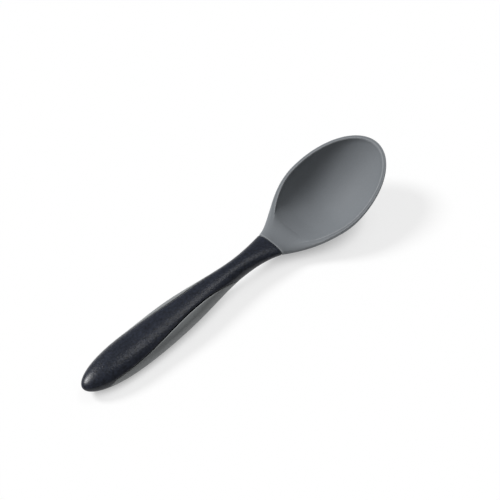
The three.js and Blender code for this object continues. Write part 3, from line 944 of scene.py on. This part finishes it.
def make_wear_and_highlight_group():
    """Mask of edge wear and, on the silicone, painted highlight: the piece's sharp edges, broken up by
    patches
    """
    inputs = [("Place", "Vector", None), ("Edge", "Float", 0.0), ("Amount", "Float", 0.5)]
    group, given, result = new_group("wear_and_highlight", inputs, [("Mask", "Float")])
    patches = add_node(
        group,
        "ShaderNodeTexNoise",
        {"Scale": WEAR_AND_HIGHLIGHT_SPREAD, "Detail": 4.0},
        {"Vector": given["Place"]},
    )
    broken = add_node(
        group,
        "ShaderNodeMapRange",
        {"From Min": PATCH_LOW, "From Max": PATCH_HIGH, "To Min": PATCH_LEAST},
        {"Value": patches.outputs["Fac"]},
    )
    # edges broken up by patches: edge wear, and on the silicone a painted highlight
    edge_wear_and_highlight = combine(group, "MULTIPLY", given["Edge"], broken.outputs["Result"])
    mask = add_node(
        group,
        "ShaderNodeMath",
        links={0: edge_wear_and_highlight, 1: given["Amount"]},
        operation="MULTIPLY",
        use_clamp=True,
    )
    group.links.new(mask.outputs[0], result["Mask"])
    return group


def shared_group(name, maker):
    """The node group of that name, made when it is first asked for"""
    return bpy.data.node_groups.get(name) or maker()


# Materials


class Finish:
    """Builds one material from mottled colour, a paler edge colour for wear and painted highlight, grain and
    a roughness that follows the grain
    """

    def __init__(self, name, roughness, specular):
        self.material = bpy.data.materials.new(name)
        self.material.use_nodes = True
        self.tree = self.material.node_tree
        self.shader = self.tree.nodes["Principled BSDF"]
        self.shader.inputs["Roughness"].default_value = roughness
        self.shader.inputs["Specular IOR Level"].default_value = specular
        self.roughness = roughness
        self.place = add_node(self.tree, "ShaderNodeTexCoord").outputs["Object"]

    def feed(self, socket, output):
        """Links an output to one of the shader's inputs"""
        self.tree.links.new(output, self.shader.inputs[socket])

    def use_group(self, name, maker, values, links=None):
        """Places a shared group, whose pattern lies fixed on the piece"""
        links = {"Place": self.place, **(links or {})}
        group = shared_group(name, maker)
        return add_node(self.tree, "ShaderNodeGroup", values, links, node_tree=group).outputs

    def colour(self, colour, broad, fine):
        """Mottles a colour twice: broad and fine are pairs of spread and amount"""
        values = {"Colour": (*colour, 1), "Spread": broad[0], "Amount": broad[1]}
        first = self.use_group("mottle", make_mottle_group, values)
        values = {"Spread": fine[0], "Amount": fine[1]}
        second = self.use_group("mottle", make_mottle_group, values, {"Colour": first["Colour"]})
        self.feed("Base Color", second["Colour"])
        return second["Colour"]

    def wear_and_highlight(self, colour, wear_and_highlight_colour, amount):
        """Lays a paler colour over the edges: edge wear, and on the silicone a painted highlight"""
        edge = add_node(self.tree, "ShaderNodeAttribute", attribute_name=EDGE_LAYER)
        mask = self.use_group("wear_and_highlight", make_wear_and_highlight_group, {"Amount": amount}, {"Edge": edge.outputs["Fac"]})
        mixed = add_node(self.tree, "ShaderNodeMix", data_type="RGBA")
        self.tree.links.new(mask["Mask"], mixed.inputs["Factor"])
        self.tree.links.new(colour, mixed.inputs["A"])
        mixed.inputs["B"].default_value = (*wear_and_highlight_colour, 1)
        self.feed("Base Color", mixed.outputs["Result"])

    def along(self, start, end):
        """Share that grows from 0 to 1 between two stations in millimetres from the tail's tip"""
        part = add_node(self.tree, "ShaderNodeSeparateXYZ", links={"Vector": self.place}).outputs["X"]
        ends = {"From Min": (start - TIP / 2) * MM, "From Max": (end - TIP / 2) * MM}
        return add_node(self.tree, "ShaderNodeMapRange", ends, {"Value": part}).outputs["Result"]

    def grain(self, spread, pits, depth, strength, roughness_swing, cover=None):
        """Raises the surface by its grain, in full where cover is 1

        Its heights are rougher than its hollows by twice the swing, or smoother where the swing is below 0.
        """
        height = self.use_group("grain", make_grain_group, {"Spread": spread, "Pits": pits})["Height"]
        if cover:
            height = combine(self.tree, "MULTIPLY", height, cover)
        raised = {"Strength": strength, "Distance": depth}
        bump = add_node(self.tree, "ShaderNodeBump", raised, {"Height": height})
        self.feed("Normal", bump.outputs["Normal"])
        rough = add_node(
            self.tree,
            "ShaderNodeMapRange",
            {
                "From Min": GRAIN_LOW,
                "From Max": GRAIN_HIGH,
                "To Min": self.roughness - roughness_swing,
                "To Max": self.roughness + roughness_swing,
            },
            {"Value": height},
        )
        self.feed("Roughness", rough.outputs["Result"])


def lighter(colour, share):
    """A colour moved a share of the way to white"""
    return [channel + (1 - channel) * share for channel in colour]


def silicone_material(colour):
    """Satin silicone, with a painted highlight on its edges: paler on the rim's lip and the mouth's bead"""
    finish = Finish("silicone", roughness=0.6, specular=0.14)
    mottled = finish.colour(colour, broad=(45.0, 0.02), fine=(900.0, 0.025))
    # painted highlight: the paler edge colour stands in for light catching the rim's lip and the mouth's
    # bead
    finish.wear_and_highlight(mottled, lighter(colour, 0.16), amount=0.6)
    finish.grain(spread=1600.0, pits=0.3, depth=0.06 * MM, strength=0.25, roughness_swing=0.06)
    return finish.material


def nylon_material(colour):
    """Dark plastic with a pebbled grain, which the tail's tip lacks"""
    finish = Finish("nylon", roughness=0.31, specular=0.32)
    mottled = finish.colour(colour, broad=(60.0, 0.06), fine=(600.0, 0.5))
    finish.wear_and_highlight(mottled, lighter(colour, 0.05), amount=0.2)
    cover = finish.along(SMOOTH_TAIL, GRAINED_TAIL)
    finish.grain(spread=800.0, pits=0.8, depth=0.2 * MM, strength=0.7, roughness_swing=-0.02, cover=cover)
    return finish.material


def skin_material(colour):
    """Matte soft skin"""
    finish = Finish("skin", roughness=0.5, specular=0.5)
    mottled = finish.colour(colour, broad=(50.0, 0.03), fine=(1200.0, 0.05))
    finish.wear_and_highlight(mottled, lighter(colour, 0.15), amount=0.15)
    finish.grain(spread=2000.0, pits=0.4, depth=0.06 * MM, strength=0.3, roughness_swing=0.05)
    return finish.material


def frame_material(colour):
    """Plain glass-filled plastic"""
    finish = Finish("frame_nylon", roughness=0.55, specular=0.4)
    finish.colour(colour, broad=(80.0, 0.08), fine=(900.0, 0.25))
    finish.grain(spread=900.0, pits=0.2, depth=0.08 * MM, strength=0.3, roughness_swing=0.1)
    return finish.material


def seen_directly(tree):
    """1 for rays from the camera or by way of a reflection or a clear piece, and 0 for the others"""
    path = add_node(tree, "ShaderNodeLightPath").outputs
    seen = combine(tree, "MAXIMUM", path["Is Camera Ray"], path["Is Glossy Ray"])
    return combine(tree, "MAXIMUM", seen, path["Is Transmission Ray"])


def floor_glow(tree):
    """Share of white glow in the floor, which falls where the spoon shuts off the open sky"""
    open_share = add_node(tree, "ShaderNodeAmbientOcclusion", {"Distance": CONTACT_REACH}).outputs["AO"]
    ends = {
        "From Min": CONTACT_SHUT,
        "From Max": CONTACT_OPEN,
        "To Min": CONTACT_GLOW,
        "To Max": FLOOR_GLOW,
    }
    return add_node(tree, "ShaderNodeMapRange", ends, {"Value": open_share}).outputs["Result"]


def floor_material(colour):
    """Pale floor with a white glow, to look at only, that makes its shadows paler"""
    material = bpy.data.materials.new("floor")
    material.use_nodes = True
    tree = material.node_tree
    shader = tree.nodes["Principled BSDF"]
    shader.inputs["Base Color"].default_value = (*colour, 1)
    shader.inputs["Roughness"].default_value = 1.0
    shader.inputs["Specular IOR Level"].default_value = 0.0
    share = combine(tree, "MULTIPLY", seen_directly(tree), floor_glow(tree))
    glow = add_node(tree, "ShaderNodeEmission", {"Color": WHITE, "Strength": 1.0})
    mixed = add_node(
        tree,
        "ShaderNodeMixShader",
        links={"Fac": share, 1: shader.outputs["BSDF"], 2: glow.outputs["Emission"]},
    )
    tree.links.new(mixed.outputs["Shader"], tree.nodes["Material Output"].inputs["Surface"])
    return material


# Stage


def add_floor(colour):
    """Adds a wide flat floor"""
    mesh = bmesh.new()
    bmesh.ops.create_grid(mesh, x_segments=1, y_segments=1, size=FLOOR_REACH)
    floor = add_mesh_object("floor", mesh, floor_material(colour))


def add_sky():
    """Adds an even white sky"""
    world = bpy.data.worlds.new("studio")
    world.use_nodes = True
    background = world.node_tree.nodes["Background"]
    background.inputs["Color"].default_value = WHITE
    background.inputs["Strength"].default_value = SKY_SHARE
    bpy.context.scene.world = world


def add_lamp(name, azimuth, height, spread, share):
    """Adds a distant soft lamp that gives the floor a share of its light"""
    lamp = bpy.data.lights.new(name, "SUN")
    lamp.energy = share * math.pi / math.sin(height)
    lamp.angle = spread
    lit = add_object(name, lamp)
    lit.rotation_euler = (0, QUARTER_TURN - height, azimuth)


def add_camera():
    """Adds the camera at the photo's angle"""
    lens = bpy.data.cameras.new("camera")
    lens.lens = CAMERA_LENS
    lens.sensor_width = CAMERA_SENSOR
    camera = add_object("camera", lens)
    camera.location = CAMERA_PLACE
    camera.rotation_euler = (CAMERA_TARGET - CAMERA_PLACE).to_track_quat("-Z", "Y").to_euler()
    bpy.context.scene.camera = camera


# Operators


class SPOON_OT_make_bowl(bpy.types.Operator):
    """Makes the silicone bowl with its rim, web and hollow"""

    bl_idname = "spoon.make_bowl"
    bl_label = "Bowl"

    def execute(self, context):
        shape = BowlShape(context.scene.spoon_sizes)
        profiles = [shape.profile(outer) for outer in shape.plan_points()]
        material = silicone_material(context.scene.spoon_colours.silicone)
        make_piece("bowl", [profiles], material, "silicone_head")
        return {"FINISHED"}


class SPOON_OT_make_handle(bpy.types.Operator):
    """Makes the handle with its top band, tail and neck"""

    bl_idname = "spoon.make_handle"
    bl_label = "Handle"

    def execute(self, context):
        sizes = context.scene.spoon_sizes
        shape = HandleShape()
        rounding = sizes.seam_rounding / MM
        sheets = [
            tail_rows(shape, rounding),
            seam_rows(shape, 0, rounding, 0, over_top=True),
            neck_rows(shape, rounding, sizes.mouth_fall / MM, sizes.mouth_gap / MM),
        ]
        material = nylon_material(context.scene.spoon_colours.nylon)
        make_piece("handle", sheets, material, "handle_body")
        return {"FINISHED"}


class SPOON_OT_make_grip(bpy.types.Operator):
    """Makes the soft skin on the handle's flanks and belly"""

    bl_idname = "spoon.make_grip"
    bl_label = "Grip skin"

    def execute(self, context):
        sizes = context.scene.spoon_sizes
        gap = sizes.seam_gap / MM
        rounding = sizes.seam_rounding / MM
        sheets = [seam_rows(HandleShape(), -gap, -rounding, sizes.grip_swell / MM, over_top=False)]
        material = skin_material(context.scene.spoon_colours.skin)
        make_piece("grip_skin", sheets, material, "grip_inlay")
        return {"FINISHED"}


class SPOON_OT_finish_frame(bpy.types.Operator):
    """Gives the hidden inner frame its material"""

    bl_idname = "spoon.finish_frame"
    bl_label = "Inner frame"

    def execute(self, context):
        node = frame["nodes"]["core_frame"]
        node.data.materials.clear()
        node.data.materials.append(frame_material(context.scene.spoon_colours.frame))
        return {"FINISHED"}


class SPOON_OT_make_stage(bpy.types.Operator):
    """Makes the floor, the sky, the lamps and the camera"""

    bl_idname = "spoon.make_stage"
    bl_label = "Stage"

    def execute(self, context):
        add_floor(context.scene.spoon_colours.floor)
        add_sky()
        add_lamp("key", KEY_AZIMUTH, KEY_HEIGHT, KEY_SPREAD, KEY_SHARE)
        add_lamp("top", TOP_AZIMUTH, TOP_HEIGHT, TOP_SPREAD, TOP_SHARE)
        add_camera()
        context.scene.view_settings.view_transform = "Standard"
        return {"FINISHED"}


OPERATORS = (
    SPOON_OT_make_bowl,
    SPOON_OT_make_handle,
    SPOON_OT_make_grip,
    SPOON_OT_finish_frame,
    SPOON_OT_make_stage,
)


class SPOON_PT_pieces(bpy.types.Panel):
    """Lists the spoon's pieces with their sizes and colours"""

    bl_idname = "SPOON_PT_pieces"
    bl_label = "Silicone spoon"
    bl_space_type = "VIEW_3D"
    bl_region_type = "UI"
    bl_category = "Spoon"

    def draw(self, context):
        for group in (context.scene.spoon_sizes, context.scene.spoon_colours):
            for name in group.__annotations__:
                self.layout.prop(group, name)
        for operator in OPERATORS:
            self.layout.operator(operator.bl_idname)


CLASSES = (SpoonSizes, SpoonColours, *OPERATORS, SPOON_PT_pieces)


def register():
    for item in CLASSES:
        bpy.utils.register_class(item)
    bpy.types.Scene.spoon_sizes = bpy.props.PointerProperty(type=SpoonSizes)
    bpy.types.Scene.spoon_colours = bpy.props.PointerProperty(type=SpoonColours)


def unregister():
    del bpy.types.Scene.spoon_colours
    del bpy.types.Scene.spoon_sizes
    for item in reversed(CLASSES):
        bpy.utils.unregister_class(item)


def main():
    register()
    bpy.ops.spoon.make_bowl()
    bpy.ops.spoon.make_handle()
    bpy.ops.spoon.make_grip()
    bpy.ops.spoon.finish_frame()
    bpy.ops.spoon.make_stage()


if __name__ == "__main__":
    main()
